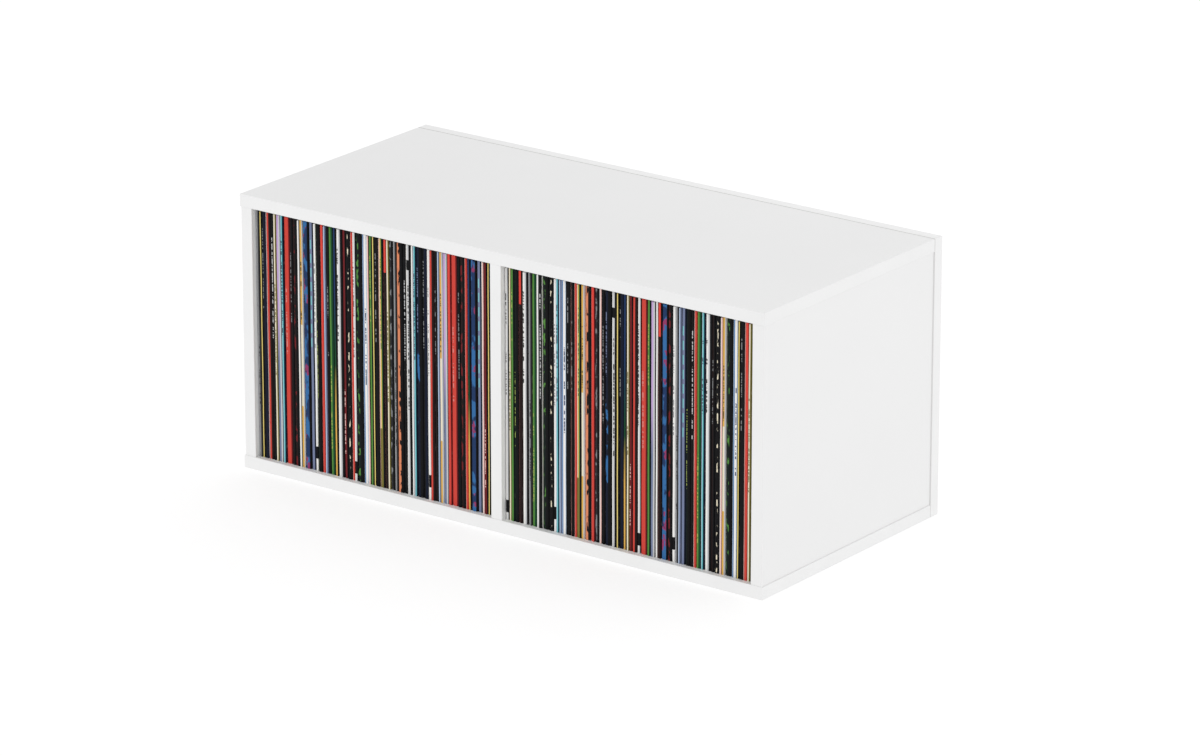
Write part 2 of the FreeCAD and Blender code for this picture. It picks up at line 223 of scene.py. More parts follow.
class Shader:
    """One node material, with short calls that add and link its nodes."""

    def __init__(self, name, specular=0.5):
        self.material = bpy.data.materials.new(name)
        self.material.use_nodes = True
        self.tree = self.material.node_tree
        self.surface = self.tree.nodes["Principled BSDF"]
        self.surface.inputs["Specular IOR Level"].default_value = specular

    def put(self, source, socket):
        """Links an output to a socket, or writes a plain value on it."""
        if isinstance(source, bpy.types.NodeSocket):
            self.tree.links.new(source, socket)
        else:
            socket.default_value = source

    def node(self, kind, **inputs):
        """Adds a node and fills the inputs named, with underscores for the spaces in their names."""
        made = self.tree.nodes.new(kind)
        for name, source in inputs.items():
            self.put(source, made.inputs[name.replace("_", " ")])
        return made

    def math(self, operation, first, second=0.0, third=0.0):
        """Result of one sum or comparison."""
        made = self.tree.nodes.new("ShaderNodeMath")
        made.operation = operation
        for source, socket in zip((first, second, third), made.inputs):
            self.put(source, socket)
        return made.outputs[0]

    def within(self, value, low, high):
        """1 from low to high and 0 elsewhere."""
        return self.math("COMPARE", value, (low + high) / 2, (high - low) / 2)

    def boxed(self, across, up, left, right, bottom, top):
        """1 inside a rectangle on the print and 0 elsewhere."""
        return self.math("MULTIPLY", self.within(across, left, right), self.within(up, bottom, top))

    def off_middle(self, place):
        """How far a place across or up the print is from its middle."""
        return self.math("ABSOLUTE", self.math("SUBTRACT", place, MIDDLE))

    def ramp(self, value, low, high, start=0.0, end=1.0):
        """Goes evenly from start to end as value goes from low to high."""
        limits = {"From_Min": low, "From_Max": high, "To_Min": start, "To_Max": end}
        return self.node("ShaderNodeMapRange", Value=value, **limits).outputs[0]

    def rough(self, pattern, least, most):
        """Roughness that follows a noise pattern."""
        return self.ramp(pattern, *GRAIN_RANGE, least, most)

    def blend(self, share, under, over):
        """Colour that goes from under to over as share goes from 0 to 1."""
        made = self.tree.nodes.new("ShaderNodeMix")
        made.data_type = "RGBA"
        colours = [socket for socket in made.inputs if socket.type == "RGBA"]
        self.put(share, made.inputs[0])
        self.put(under, colours[0])
        self.put(over, colours[1])
        return next(socket for socket in made.outputs if socket.type == "RGBA")

    def mixed(self, pattern, first, second, low=0.35, high=0.65):
        """Colour that follows a noise pattern: the first below low, the second above high."""
        return self.blend(self.ramp(pattern, low, high), first, second)

    def place(self, stretch=(1.0, 1.0, 1.0)):
        """Position on the object in metres, stretched along its axes."""
        where = self.tree.nodes.new("ShaderNodeTexCoord").outputs["Object"]
        return self.node("ShaderNodeMapping", Vector=where, Scale=stretch).outputs[0]

    def noise(self, per_metre, detail=2.0, roughness=0.5, stretch=(1.0, 1.0, 1.0)):
        """Noise pattern with about so many patches to the metre."""
        shape = {"Scale": per_metre, "Detail": detail, "Roughness": roughness}
        return self.node("ShaderNodeTexNoise", Vector=self.place(stretch), **shape).outputs[0]

    def printed(self):
        """Position on the printed sheet: 0 to 1 across and 0 to 1 up."""
        layer = self.tree.nodes.new("ShaderNodeUVMap")
        layer.uv_map = "Print"
        split = self.node("ShaderNodeSeparateXYZ", Vector=layer.outputs[0])
        return split.outputs[0], split.outputs[1]

    def distance(self, across, up, across_at, up_at):
        """How far a place on the print is from a point on it."""
        sideways = self.math("SUBTRACT", across, across_at)
        upright = self.math("SUBTRACT", up, up_at)
        squares = self.math("MULTIPLY_ADD", sideways, sideways, self.math("MULTIPLY", upright, upright))
        return self.math("SQRT", squares)

    def with_painted_shade(self, colour, seam_end):
        """Colour with painted shade in inner corners, from an occlusion node, and a painted shade line
        along the back seam, strongest on level faces.
        """
        shut_in = self.node("ShaderNodeAmbientOcclusion", Distance=CORNER_REACH)
        shut_in.samples = CORNER_SAMPLES
        corner = self.ramp(shut_in.outputs["AO"], CORNER_SHUT, CORNER_OPEN, CORNER_SHADE, 0.0)
        depth = self.node("ShaderNodeSeparateXYZ", Vector=self.place()).outputs[1]
        facing = self.tree.nodes.new("ShaderNodeNewGeometry").outputs["Normal"]
        level = self.node("ShaderNodeSeparateXYZ", Vector=facing).outputs[2]
        seam_level_share = self.ramp(level, 0.0, 1.0, UPRIGHT_SHADE, 1.0)
        seam = self.math("MULTIPLY", seam_level_share, self.within(depth, BACK_SEAM - SEAM_WIDTH, seam_end))
        return self.blend(self.math("MAXIMUM", corner, seam), colour, PAINTED_SHADE_GREY)

    def finish(self, colour, roughness, height, depth=RELIEF_DEPTH, strength=RELIEF_STRENGTH):
        """Links colour, roughness and a fine relief to the surface; returns the material."""
        self.put(colour, self.surface.inputs["Base Color"])
        self.put(roughness, self.surface.inputs["Roughness"])
        relief = self.node("ShaderNodeBump", Height=height, Strength=strength, Distance=depth)
        self.put(relief.outputs[0], self.surface.inputs["Normal"])
        return self.material


# Plain materials
def melamine():
    """White faced board: a very fine pearl in the pressed surface and faint clouding."""
    shader = Shader("white_melamine", specular=0.35)
    cloud = shader.noise(per_metre=7.0, detail=4.0)
    pearl = shader.noise(per_metre=800.0, detail=3.0)
    # Painted shade in inner corners and along the back seam
    colour = shader.with_painted_shade(shader.mixed(cloud, BOARD_WHITE, BOARD_SHADE), BACK_SEAM - SEAM_HAIR)
    roughness = shader.rough(pearl, least=0.46, most=0.58)
    return shader.finish(colour, roughness, pearl, depth=0.05 * MM, strength=0.25)


def edge_strip():
    """Extruded edge strip: smoother than the board, with faint scraper marks."""
    shader = Shader("white_edge_strip", specular=0.4)
    cloud = shader.noise(per_metre=16.0, detail=3.0)
    scrape = shader.noise(per_metre=420.0, stretch=(0.06, 1.0, 1.0))
    # Painted shade in inner corners and along the back seam
    colour = shader.with_painted_shade(shader.mixed(cloud, EDGE_WHITE, EDGE_SHADE), BACK_SEAM + SEAM_WIDTH)
    roughness = shader.rough(scrape, least=0.38, most=0.5)
    return shader.finish(colour, roughness, scrape, depth=0.04 * MM, strength=0.2)


def cap_plastic():
    """Moulded plastic of the caps, with a fine grain."""
    shader = Shader("white_cap_plastic", specular=0.45)
    grain = shader.noise(per_metre=1500.0)
    colour = shader.mixed(grain, CAP_WHITE, CAP_SHADE, low=0.3, high=0.75)
    return shader.finish(colour, shader.rough(grain, least=0.4, most=0.55), grain, depth=0.05 * MM)


def zinc():
    """Zinc plating of the cams, bolts and screws."""
    shader = Shader("zinc_plated_steel")
    shader.surface.inputs["Metallic"].default_value = 1.0
    grain = shader.noise(per_metre=900.0, detail=4.0, roughness=0.6)
    colour = shader.mixed(grain, ZINC_PALE, ZINC_DARK, low=0.3, high=0.7)
    return shader.finish(colour, shader.rough(grain, least=0.28, most=0.5), grain, depth=0.04 * MM)


def beech():
    """Beech of the dowels, with its grain upright."""
    shader = Shader("beech_dowel", specular=0.25)
    grain = shader.noise(per_metre=1400.0, detail=4.0, stretch=(1.0, 1.0, 0.08))
    colour = shader.mixed(grain, BEECH_PALE, BEECH_DARK)
    return shader.finish(colour, shader.rough(grain, least=0.6, most=0.8), grain)


def card_core():
    """Raw card inside a cover's mouth."""
    shader = Shader("card_core", specular=0.15)
    fibre = shader.noise(per_metre=1100.0, detail=4.0, stretch=(1.0, 0.3, 1.0))
    colour = shader.mixed(fibre, CARD_CORE, CARD_GREY, low=0.35, high=0.7)
    return shader.finish(colour, shader.rough(fibre, least=0.8, most=0.95), fibre)


def sleeve_paper():
    """Paper of the inner sleeve that shows in a cover's mouth."""
    shader = Shader("inner_sleeve_paper", specular=0.15)
    fibre = shader.noise(per_metre=1600.0, detail=4.0)
    colour = shader.mixed(fibre, SLEEVE_PAPER, CARD_CORE, low=0.4, high=0.75)
    return shader.finish(colour, shader.rough(fibre, least=0.75, most=0.9), fibre)


# Layers of a print: each call returns a function that paints its shape over the colour under it
def stripe(colour, left, right):
    """A line along the whole height."""
    def paint(shader, under, across, up):
        return shader.blend(shader.within(across, left, right), under, colour)
    return paint


def block(colour, left, right, bottom, top):
    """A rectangle."""
    def paint(shader, under, across, up):
        return shader.blend(shader.boxed(across, up, left, right, bottom, top), under, colour)
    return paint


def band(colour, bottom, top):
    """A band over the whole width."""
    def paint(shader, under, across, up):
        return shader.blend(shader.within(up, bottom, top), under, colour)
    return paint


def bars(colour, left, right, bottom, top, count, share=0.5):
    """Short bars, evenly spaced from bottom to top."""
    def paint(shader, under, across, up):
        step = shader.math("FRACT", shader.ramp(up, bottom, top, 0.0, count))
        inside = shader.boxed(across, up, left, right, bottom, top)
        drawn = shader.math("MULTIPLY", shader.within(step, 0.0, share), inside)
        return shader.blend(drawn, under, colour)
    return paint


def fade(colour, start, end):
    """Goes over to another colour from one height to another."""
    def paint(shader, under, across, up):
        return shader.blend(shader.ramp(up, start, end), under, colour)
    return paint


def mottle(colour, size, share=0.5, left=LEFT, right=RIGHT, bottom=BELOW, top=ABOVE):
    """Irregular patches about size millimetres wide and twice as tall."""
    def paint(shader, under, across, up):
        patches = shader.noise(MM_PER_METRE / size, detail=3.0, stretch=(1.0, 1.0, 0.5))
        edge = MIDDLE + (MIDDLE - share) * MOTTLE_REACH
        marked = shader.ramp(patches, edge - MOTTLE_RIM, edge + MOTTLE_RIM)
        inside = shader.boxed(across, up, left, right, bottom, top)
        return shader.blend(shader.math("MULTIPLY", marked, inside), under, colour)
    return paint


def disc(colour, across_at, up_at, radius):
    """A filled circle."""
    def paint(shader, under, across, up):
        inside = shader.math("LESS_THAN", shader.distance(across, up, across_at, up_at), radius)
        return shader.blend(inside, under, colour)
    return paint


def ripples(colour, across_at, up_at, inner, outer, count, share=0.5):
    """Rings round one centre, evenly spaced from the inner to the outer radius."""
    def paint(shader, under, across, up):
        radius = shader.distance(across, up, across_at, up_at)
        step = shader.math("FRACT", shader.ramp(radius, inner, outer, 0.0, count))
        inside = shader.within(radius, inner, outer)
        drawn = shader.math("MULTIPLY", shader.within(step, 0.0, share), inside)
        return shader.blend(drawn, under, colour)
    return paint


def dots(colour, count, radius, bottom=0.08, top=0.92):
    """Rows of dots over the whole width; the radius is a share of their spacing."""
    def paint(shader, under, across, up):
        sideways = shader.math("FRACT", shader.math("MULTIPLY", across, count))
        upright = shader.math("FRACT", shader.math("MULTIPLY", up, count))
        dot = shader.math("LESS_THAN", shader.distance(sideways, upright, MIDDLE, MIDDLE), radius)
        return shader.blend(shader.math("MULTIPLY", dot, shader.within(up, bottom, top)), under, colour)
    return paint


def border(colour, inset, width):
    """A square line round the cover, inset from its edges."""
    def paint(shader, under, across, up):
        out = shader.math("MAXIMUM", shader.off_middle(across), shader.off_middle(up))
        return shader.blend(shader.within(out, MIDDLE - inset - width, MIDDLE - inset), under, colour)
    return paint


def flecks(colour, left, right, bottom, top):
    """A line of small uneven flecks in groups, with the room between them left bare."""
    def paint(shader, under, across, up):
        fine = shader.noise(MM_PER_METRE / FLECK_LENGTH, detail=0.0, stretch=FLECK_STRETCH)
        coarse = shader.noise(MM_PER_METRE / GROUP_LENGTH, detail=0.0, stretch=FLECK_STRETCH)
        fleck = shader.math("GREATER_THAN", fine, FLECK_LEVEL)
        group = shader.math("GREATER_THAN", coarse, GROUP_LEVEL)
        inside = shader.boxed(across, up, left, right, bottom, top)
        shown = shader.math("MULTIPLY", shader.math("MULTIPLY", fleck, group), inside)
        return shader.blend(shown, under, colour)
    return paint


def slope(colour, height, rise):
    """Everything below a slanting line."""
    def paint(shader, under, across, up):
        line = shader.math("MULTIPLY_ADD", across, rise, height)
        return shader.blend(shader.math("LESS_THAN", up, line), under, colour)
    return paint


# A record's print: its ground, then the layers on its spine and those on its cover faces. Places are
# shares of the print's width and height, from its left edge and its foot.
Design = namedtuple("Design", "name ground spine cover")

# Many spines carry a paler stripe along their left edge and a dark one along their right edge: print that
# also stands in for painted light on the left of the rounded spine and painted shade on its right, where it
# meets the next record.
DESIGNS = {
    "thin": (
        Design(
            "straw", INK,
            [stripe(STRAW, 0.35, 0.7)],
            [ripples(STRAW, 0.5, 0.45, 0.06, 0.3, 4, 0.35), band(COAL, 0.86, 0.94)],
        ),
        Design(
            "ivory", CREAM,
            [flecks(OLIVE, 0.3, 0.6, 0.35, 0.72), stripe(OLIVE, 0.7, RIGHT)],
            [disc(GOLD, 0.66, 0.62, 0.16), slope(OLIVE, 0.3, 0.2), slope(BROWN_INK, 0.1, 0.15)],
        ),
        Design(
            "chalk", WHITE,
            [stripe(GREY, 0.75, RIGHT)],
            [disc(PALE_GREY, 0.5, 0.5, 0.3), disc(WHITE, 0.5, 0.5, 0.1), border(GREY, 0.05, 0.006)],
        ),
        Design(
            "snow", WHITE,
            [flecks(GREY, 0.3, 0.6, 0.5, 0.85), block(INK, LEFT, RIGHT, 0.05, 0.1)],
            [block(INK, 0.1, 0.9, 0.1, 0.16), bars(PALE_GREY, 0.1, 0.9, 0.3, 0.9, 12, 0.3)],
        ),
        Design(
            "mist", PALE_BLUE,
            [stripe(SLATE, 0.5, RIGHT)],
            [slope(SKY, 0.75, -0.4), slope(SLATE, 0.45, -0.2), slope(NAVY, 0.15, 0.1)],
        ),
        Design(
            "blush", RED,
            [stripe(PINK, LEFT, 0.3)],
            [band(ROSE, 0.1, 0.3), bars(PINK, LEFT, RIGHT, 0.34, 0.46, 3, 0.3)],
        ),
        Design(
            "rose", PINK,
            [stripe(WHITE, LEFT, 0.4), stripe(BROWN_INK, 0.85, RIGHT)],
            [dots(ROSE, 8, 0.3), block(BROWN_INK, 0.2, 0.8, 0.44, 0.56)],
        ),
    ),
    "single": (
        Design(
            "pewter", GREY,
            [stripe(PALE_GREY, LEFT, 0.3), flecks(INK, 0.36, 0.56, 0.18, 0.5), stripe(COAL, 0.6, RIGHT)],
            [slope(PALE_GREY, 0.75, -0.3), slope(COAL, 0.4, 0.2), border(INK, 0.0, 0.03)],
        ),
        Design(
            "coal", INK,
            [flecks(PALE_GREY, 0.38, 0.6, 0.5, 0.93), stripe(WHITE, 0.92, RIGHT)],
            [bars(GREY, 0.1, 0.9, 0.6, 0.9, 6, 0.3), block(COAL, 0.1, 0.9, 0.1, 0.52)],
        ),
        Design(
            "lagoon", AQUA,
            [
                stripe(PALE_BLUE, LEFT, 0.3),
                stripe(TEAL, 0.55, 0.66),
                stripe(NIGHT, 0.66, RIGHT),
                flecks(NIGHT, 0.28, 0.5, 0.52, 0.9),
            ],
            [disc(PALE_BLUE, 0.34, 0.66, 0.14), slope(TEAL, 0.45, 0.12), slope(NIGHT, 0.12, 0.2)],
        ),
        Design(
            "soot", BROWN_INK,
            [stripe(WINE, LEFT, 0.15), flecks(GREY, 0.24, 0.44, 0.58, 0.86), stripe(INK, 0.5, RIGHT)],
            [ripples(WINE, 0.5, 0.5, 0.06, 0.4, 6, 0.4)],
        ),
        Design(
            "wheat", GOLD,
            [
                block(CREAM, LEFT, RIGHT, 0.25, 0.58),
                stripe(PALE_GREY, 0.66, RIGHT),
                flecks(BROWN_INK, 0.3, 0.52, 0.6, 0.84),
            ],
            [disc(PINK, 0.7, 0.74, 0.12), slope(CREAM, 0.42, 0.15), slope(OLIVE, 0.3, -0.2)],
        ),
        Design(
            "poppy", POPPY,
            [fade(RED, 0.7, 0.3), stripe(PINK, LEFT, 0.2), stripe(WINE, 0.8, RIGHT)],
            [disc(PINK, 0.5, 0.58, 0.28), slope(WINE, 0.5, 0.0), band(PINK, 0.06, 0.09)],
        ),
        Design(
            "ink", INK,
            [stripe(COAL, LEFT, 0.12), flecks(GREY, 0.4, 0.62, 0.48, 0.86)],
            [band(COAL, 0.3, 0.7), bars(GREY, 0.12, 0.88, 0.46, 0.54, 3, 0.2)],
        ),
        Design(
            "tide", NAVY,
            [fade(FOREST, 0.75, 0.5), fade(GOLD, 0.45, 0.25), stripe(INK, 0.6, RIGHT)],
            [
                fade(FOREST, 0.7, 0.4),
                disc(GOLD, 0.5, 0.6, 0.14),
                bars(NAVY, LEFT, RIGHT, 0.1, 0.4, 6, 0.4),
            ],
        ),
        Design(
            "wine", WINE,
            [stripe(ROSE, LEFT, 0.15), flecks(PINK, 0.24, 0.44, 0.1, 0.36), stripe(INK, 0.7, RIGHT)],
            [block(BROWN_INK, 0.12, 0.88, 0.12, 0.56), block(ROSE, 0.12, 0.88, 0.62, 0.66)],
        ),
        Design(
            "drift", WHITE,
            [
                flecks(COAL, 0.2, 0.42, 0.5, 0.9),
                stripe(PALE_GREY, 0.5, 0.78),
                stripe(INK, 0.78, RIGHT),
                band(INK, 0.03, 0.08),
            ],
            [
                disc(PALE_GREY, 0.5, 0.6, 0.25),
                disc(GREY, 0.62, 0.52, 0.16),
                block(INK, 0.1, 0.9, 0.1, 0.14),
            ],
        ),
        Design(
            "moss", FERN,
            [stripe(LIME, LEFT, 0.15), flecks(LIME, 0.28, 0.5, 0.64, 0.92), stripe(GREEN_INK, 0.65, RIGHT)],
            [disc(LIME, 0.3, 0.72, 0.12), slope(FOREST, 0.5, 0.2), slope(GREEN_INK, 0.4, -0.25)],
        ),
        Design(
            "lantern", BROWN_INK,
            [stripe(ROSE, LEFT, 0.2), block(POPPY, 0.2, 0.75, 0.87, ABOVE)],
            [block(POPPY, 0.1, 0.9, 0.66, 0.9), bars(ROSE, 0.1, 0.9, 0.12, 0.58, 4, 0.3)],
        ),
    ),
    "double": (
        Design(
            "pitch", INK,
            [flecks(GREY, 0.22, 0.38, 0.6, 0.95), stripe(NIGHT, 0.45, 0.9), stripe(WHITE, 0.92, RIGHT)],
            [ripples(COAL, 0.5, 0.5, 0.1, 0.42, 8, 0.4), disc(NIGHT, 0.5, 0.5, 0.1)],
        ),
        Design(
            "garnet", BROWN_INK,
            [stripe(RED, LEFT, 0.52), stripe(PINK, LEFT, 0.14)],
            [disc(RED, 0.62, 0.38, 0.24), band(PINK, 0.76, 0.79), border(RED, 0.04, 0.01)],
        ),
        Design(
            "heather", LILAC,
            [fade(SLATE, 0.6, 0.4), stripe(PALE_GREY, 0.55, 0.8), stripe(INK, 0.8, RIGHT)],
            [disc(PINK, 0.7, 0.7, 0.13), slope(SLATE, 0.5, 0.1), slope(NAVY, 0.42, -0.2)],
        ),
        Design(
            "cocoa", BROWN_INK,
            [mottle(WINE, 6, 0.4, 0.15, 0.5), stripe(INK, 0.5, RIGHT)],
            [mottle(WINE, 60, 0.4), border(BROWN_INK, 0.0, 0.08), border(ROSE, 0.08, 0.006)],
        ),
        Design(
            "harbour", SLATE,
            [
                stripe(INK, LEFT, 0.25),
                bars(AQUA, 0.32, 0.5, 0.5, 0.95, 8, 0.65),
                stripe(NIGHT, 0.66, RIGHT),
            ],
            [disc(AQUA, 0.3, 0.7, 0.1), slope(NAVY, 0.4, 0.1), slope(NIGHT, 0.2, 0.05)],
        ),
        Design(
            "pit", GREEN_INK,
            [stripe(LIME, LEFT, 0.08), flecks(LIME, 0.18, 0.33, 0.3, 0.62), stripe(INK, 0.4, RIGHT)],
            [dots(FOREST, 10, 0.34), block(LIME, 0.1, 0.9, 0.48, 0.5)],
        ),
        Design(
            "fern", FERN,
            [
                stripe(LIME, LEFT, 0.15),
                flecks(LIME, 0.24, 0.42, 0.1, 0.45),
                stripe(FOREST, 0.5, 0.8),
                stripe(INK, 0.8, RIGHT),
            ],
            [ripples(LIME, 0.5, 0.5, 0.12, 0.36, 3, 0.3), slope(FOREST, 0.2, 0.0)],
        ),
        Design(
            "bramble", INK,
            [mottle(CREAM, 4, 0.36, 0.44, 0.64)],
            [mottle(OLIVE, 40, 0.4), border(INK, 0.0, 0.06), border(CREAM, 0.06, 0.008)],
        ),
        Design(
            "cobalt", PALE_BLUE,
            [
                stripe(ROYAL, 0.28, 0.44),
                stripe(WHITE, 0.44, 0.8),
                flecks(NAVY, 0.56, 0.74, 0.4, 0.74),
                stripe(INK, 0.88, RIGHT),
            ],
            [
                block(ROYAL, 0.12, 0.88, 0.3, 0.88),
                disc(PALE_BLUE, 0.5, 0.59, 0.18),
                band(NAVY, 0.12, 0.2),
            ],
        ),
        Design(
            "tunnel", INK,
            [stripe(COAL, LEFT, 0.1), flecks(GREY, 0.28, 0.44, 0.58, 0.94), stripe(PINK, 0.88, RIGHT)],
            [disc(COAL, 0.5, 0.5, 0.38), disc(INK, 0.5, 0.46, 0.28), disc(PINK, 0.5, 0.42, 0.12)],
        ),
        Design(
            "mustard", CREAM,
            [
                stripe(GOLD, 0.34, 0.5),
                flecks(BROWN_INK, 0.36, 0.47, 0.56, 0.92),
                stripe(FERN, 0.5, 0.62),
                stripe(INK, 0.62, RIGHT),
                block(OLIVE, LEFT, 0.62, BELOW, 0.24),
            ],
            [slope(GOLD, 0.7, -0.2), slope(FERN, 0.4, 0.1), slope(OLIVE, 0.3, -0.1)],
        ),
        Design(
            "gravel", COAL,
            [mottle(GREY, 4, 0.4, 0.1, 0.5), stripe(INK, 0.5, RIGHT)],
            [
                mottle(GREY, 30, 0.4),
                block(INK, 0.0, 1.0, 0.0, 0.24),
                block(PALE_GREY, 0.1, 0.5, 0.1, 0.13),
            ],
        ),
        Design(
            "flag", PALE_GREY,
            [
                stripe(WHITE, LEFT, 0.35),
                flecks(INK, 0.38, 0.56, 0.34, 0.84),
                stripe(INK, 0.6, RIGHT),
                band(INK, 0.9, 0.94),
            ],
            [block(INK, 0.0, 1.0, 0.0, 0.2), dots(WHITE, 12, 0.3, 0.25, 0.95)],
        ),
    ),
    "box": (
        Design(
            "brick", RED,
            [
                stripe(ROSE, LEFT, 0.1),
                flecks(ROSE, 0.3, 0.44, 0.42, 0.72),
                stripe(WINE, 0.7, 0.85),
                stripe(INK, 0.85, RIGHT),
            ],
            [disc(WINE, 0.56, 0.44, 0.32), disc(ROSE, 0.4, 0.6, 0.14), border(ROSE, 0.05, 0.012)],
        ),
        Design(
            "plum", ROYAL,
            [
                mottle(MAGENTA, 9, 0.3),
                mottle(NAVY, 12, 0.5),
                stripe(INK, LEFT, 0.2),
                stripe(INK, 0.7, RIGHT),
            ],
            [mottle(MAGENTA, 50, 0.4), mottle(NAVY, 70, 0.45), border(INK, 0.0, 0.05)],
        ),
        Design(
            "field", WHITE,
            [
                flecks(INK, 0.2, 0.36, 0.55, 0.93),
                stripe(PALE_GREY, 0.45, 0.62),
                stripe(COAL, 0.62, 0.75),
                stripe(INK, 0.75, RIGHT),
            ],
            [ripples(PALE_GREY, 0.5, 0.5, 0.1, 0.4, 5), block(INK, 0.1, 0.9, 0.05, 0.07)],
        ),
        Design(
            "grove", GREEN_INK,
            [mottle(FERN, 5, 0.36, 0.1, 0.5), stripe(INK, 0.5, RIGHT), stripe(CREAM, LEFT, 0.07)],
            [mottle(FERN, 50, 0.4), slope(GREEN_INK, 0.3, 0.1), block(CREAM, 0.1, 0.45, 0.1, 0.115)],
        ),
        Design(
            "rust", ORANGE,
            [stripe(PINK, LEFT, 0.12), mottle(BROWN_INK, 6, 0.4, 0.34, 0.52), stripe(INK, 0.52, RIGHT)],
            [mottle(BROWN_INK, 45, 0.45), border(ORANGE, 0.0, 0.07), block(PINK, 0.07, 0.93, 0.07, 0.16)],
        ),
        Design(
            "midnight", NIGHT,
            [
                mottle(ROYAL, 9, 0.4, 0.0, 0.5, 0.15, 0.6),
                flecks(SLATE, 0.2, 0.34, 0.66, 0.92),
                stripe(INK, 0.5, RIGHT),
            ],
            [dots(SLATE, 16, 0.07), disc(ROYAL, 0.5, 0.5, 0.3), disc(NIGHT, 0.58, 0.54, 0.26)],
        ),
    ),
}


# Printed materials
def spine_print(design):
    """Printed spine: its design, rubbed through to the card along both corners."""
    shader = Shader(f"spine_{design.name}", specular=0.08)
    across, up = shader.printed()
    # Many of the spine layers are paler at the left edge and dark at the right: print that also holds
    # painted light and shade.
    colour = design.ground
    for layer in design.spine:
        colour = layer(shader, colour, across, up)
    rub = shader.noise(per_metre=260.0, detail=4.0, roughness=0.65, stretch=(1.0, 1.0, 0.35))
    corner = shader.ramp(shader.off_middle(across), MIDDLE - SPINE_CORNER, MIDDLE)
    worn = shader.math("MULTIPLY", corner, shader.ramp(rub, *RUB_RANGE, 0.0, SPINE_MOST_WORN))
    colour = shader.blend(worn, colour, CARD_CORE)
    fibre = shader.noise(per_metre=1300.0, detail=3.0)
    return shader.finish(colour, shader.rough(rub, least=0.5, most=0.68), fibre, depth=CARD_RELIEF)


def cover_print(design):
    """Printed cover: its design, rubbed along its edges and in a ring where the disc inside presses."""
    shader = Shader(f"cover_{design.name}", specular=0.15)
    across, up = shader.printed()
    colour = design.ground
    for layer in design.cover:
        colour = layer(shader, colour, across, up)
    patch = shader.noise(per_metre=14.0)
    speck = shader.noise(per_metre=420.0, detail=4.0, roughness=0.65)
    off_rim = shader.math("SUBTRACT", shader.distance(across, up, MIDDLE, MIDDLE), DISC_SHARE)
    rim = shader.ramp(shader.math("ABSOLUTE", off_rim), 0.0, RIM_WEAR, 1.0, 0.0)
    out = shader.math("MAXIMUM", shader.off_middle(up), shader.math("SUBTRACT", across, MIDDLE))
    edge = shader.ramp(out, MIDDLE - EDGE_WEAR, MIDDLE, 0.0, EDGE_SHARE)
    pressed = shader.math("MULTIPLY", rim, shader.ramp(patch, *PATCH_RANGE))
    exposed = shader.math("MAXIMUM", pressed, edge)
    worn = shader.math("MULTIPLY", exposed, shader.ramp(speck, *SPECK_RANGE, 0.0, COVER_MOST_WORN))
    colour = shader.blend(worn, colour, CARD_CORE)
    fibre = shader.noise(per_metre=1300.0, detail=3.0)
    return shader.finish(colour, shader.rough(speck, least=0.42, most=0.6), fibre, depth=CARD_RELIEF)


class Piece:
    """A mesh of closed solids, each a stack of rings, with a place on the print at every point."""

    def __init__(self, name):
        self.name = name
        self.points = []
        self.prints = []
        self.faces = []
        self.materials = []
        self.face_materials = []
        self.face_rounded = []

    def face(self, corners, material, rounded):
        """Adds one face; rounded faces are shaded smoothly."""
        if material not in self.materials:
            self.materials.append(material)
        self.faces.append(corners)
        self.face_materials.append(self.materials.index(material))
        self.face_rounded.append(rounded)

    def stack(self, rings, prints, materials, rounded=False):
        """Joins each ring to the next with faces of that level's material and closes both ends."""
        start = len(self.points)
        count = len(rings[0])
        for ring, places in zip(rings, prints):
            self.points.extend(ring)
            self.prints.extend(places)
        for level, material in enumerate(materials):
            low = start + level * count
            for side in range(count):
                after = (side + 1) % count
                corners = (low + side, low + after, low + count + after, low + count + side)
                self.face(corners, material, rounded)
        last = start + (len(rings) - 1) * count
        self.face(range(start + count - 1, start - 1, -1), materials[0], False)
        self.face(range(last, last + count), materials[-1], False)

    def build(self, body):
        """Makes the mesh object and lets it ride its body."""
        mesh = bpy.data.meshes.new(self.name)
        mesh.from_pydata(self.points, [], self.faces)
        for material in self.materials:
            mesh.materials.append(material)
        layer = mesh.uv_layers.new(name="Print")
        for loop, corner in zip(mesh.loops, layer.data):
            corner.uv = self.prints[loop.vertex_index]
        for polygon, material, rounded in zip(mesh.polygons, self.face_materials, self.face_rounded):
            polygon.material_index = material
            polygon.use_smooth = rounded
        mesh.set_sharp_from_angle(angle=SHARP_ANGLE)
        piece = bpy.data.objects.new(self.name, mesh)
        bpy.context.scene.collection.objects.link(piece)
        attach(piece, body)
        return piece


# One record: its box in metres and the name of its design
Record = namedtuple("Record", "left right front rear bottom top design")


def spine_outline(record):
    """Outline seen from above: back along the left cover, round the spine, back along the right cover."""
    radius = SPINE_ROUND_SHARE * (record.right - record.left)
    back = record.front + SPINE_WRAP
    outline = [(record.left, back)]
    for centre, first in ((record.left + radius, math.pi), (record.right - radius, 1.5 * math.pi)):
        for step in range(ROUND_STEPS + 1):
            angle = first + 0.5 * math.pi * step / ROUND_STEPS
            x = centre + radius * math.cos(angle)
            y = record.front + radius + radius * math.sin(angle)
            outline.append((x, y))
    outline.append((record.right, back))
    return outline


def places_across(outline):
    """Place of each outline point on the spine's print: 0 to 1 round it, beyond that on the covers."""
    lengths = [math.dist(a, b) for a, b in zip(outline, outline[1:])]
    around = sum(lengths[1:-1])
    return [(sum(lengths[:index]) - lengths[0]) / around for index in range(len(outline))]


